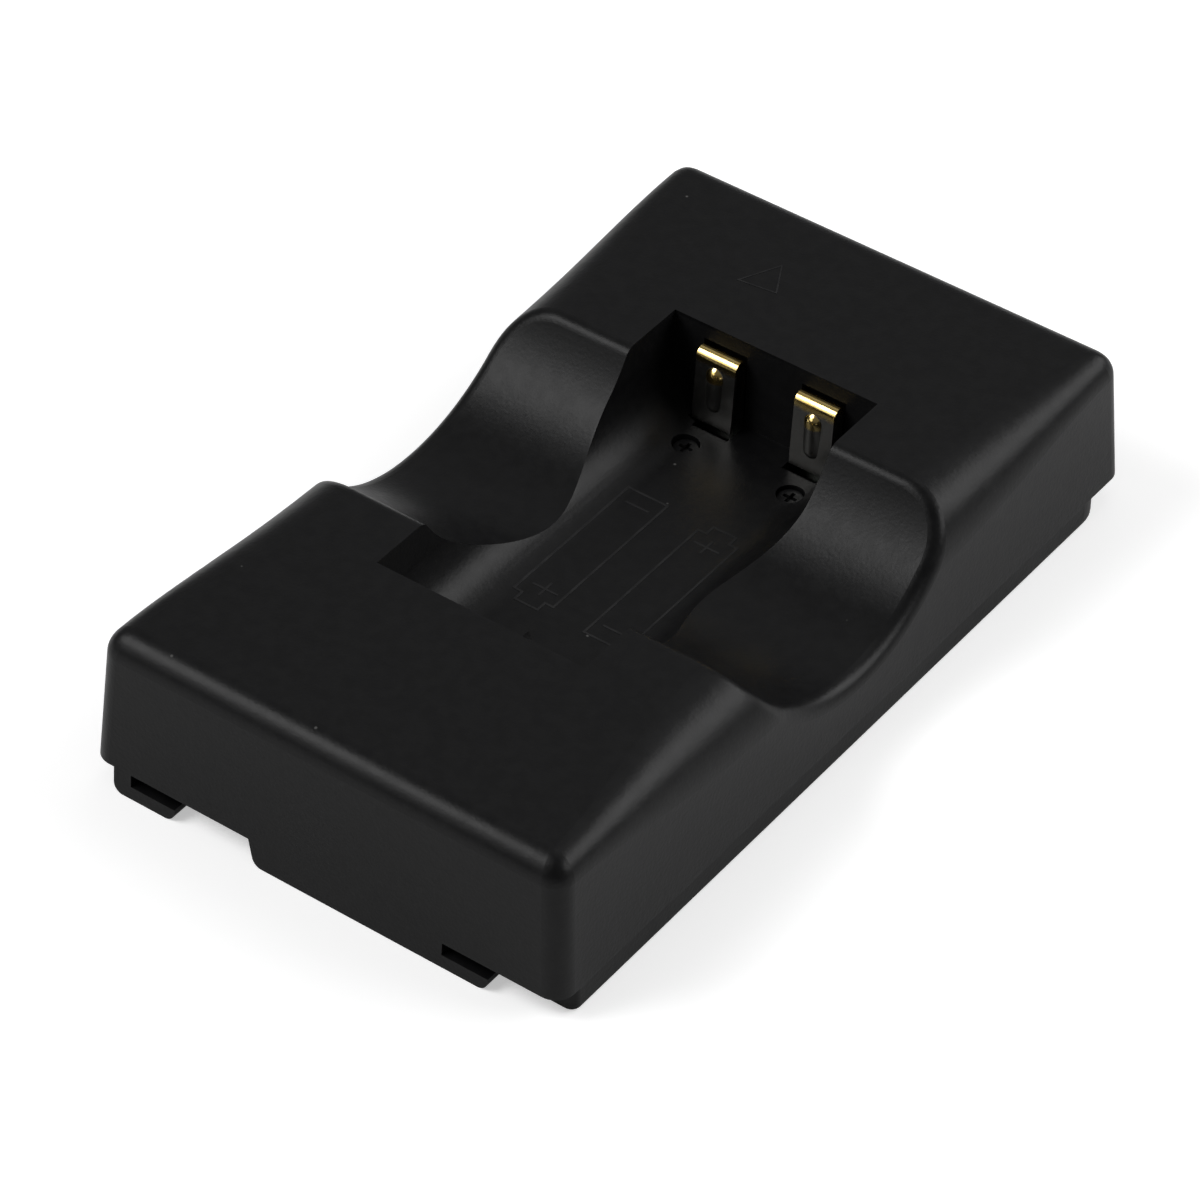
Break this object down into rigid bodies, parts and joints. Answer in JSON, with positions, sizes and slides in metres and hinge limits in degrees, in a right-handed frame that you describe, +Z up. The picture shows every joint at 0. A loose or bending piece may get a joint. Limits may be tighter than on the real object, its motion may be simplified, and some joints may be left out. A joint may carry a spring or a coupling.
{
  "type": "battery charger cradle",
  "caption": "Flat black cradle with a hollow for a pair of round cells, a finger scoop across it, sprung gold contacts at both ends and hooks that slide onto a charger base.",
  "frame": {"origin": "centre of the underside, on the plane that the cradle rests on", "axes": "+Z up; +Y along the long side, toward the end of the bay with two separate contacts; +X across, to the right when seen from the near end"},
  "size_m": [0.0664, 0.1148, 0.022],
  "materials": {
    "housing_plastic": "fine satin black moulding",
    "cover_plastic": "fine satin black moulding",
    "gold_contact": "polished gold plating",
    "terminal_metal": "gold plated, dull",
    "board": "green solder mask",
    "black_screw": "black oxide steel",
    "plain_screw": "zinc plated steel"
  },
  "bodies": {
    "cradle": {"top_housing": "housing_plastic", "bottom_cover": "cover_plastic", "circuit_board": "board", "negative_terminal": "terminal_metal", "positive_terminal": "terminal_metal", "bay_screws": "black_screw", "cover_screws": "black_screw", "board_screws": "plain_screw"},
    "negative_spring": {"negative_contact": "gold_contact"},
    "positive_spring": {"positive_contact": "gold_contact"},
    "bridge_spring": {"bridge_contact": "gold_contact"}
  },
  "joints": [
    {"name": "negative_contact_flex", "type": "hinge", "parent": "cradle", "child": "negative_spring", "pos_m": [-0.0071, 0.03012, 0.0052], "axis": [-1, 0, 0], "range_deg": [0, 4], "stiffness_Nm_per_rad": 0.15},
    {"name": "positive_contact_flex", "type": "hinge", "parent": "cradle", "child": "positive_spring", "pos_m": [0.0071, 0.03012, 0.0052], "axis": [-1, 0, 0], "range_deg": [0, 4], "stiffness_Nm_per_rad": 0.15},
    {"name": "bridge_contact_flex", "type": "hinge", "parent": "cradle", "child": "bridge_spring", "pos_m": [0, -0.02813, 0.0046], "axis": [1, 0, 0], "range_deg": [0, 4], "stiffness_Nm_per_rad": 0.3}
  ]
}
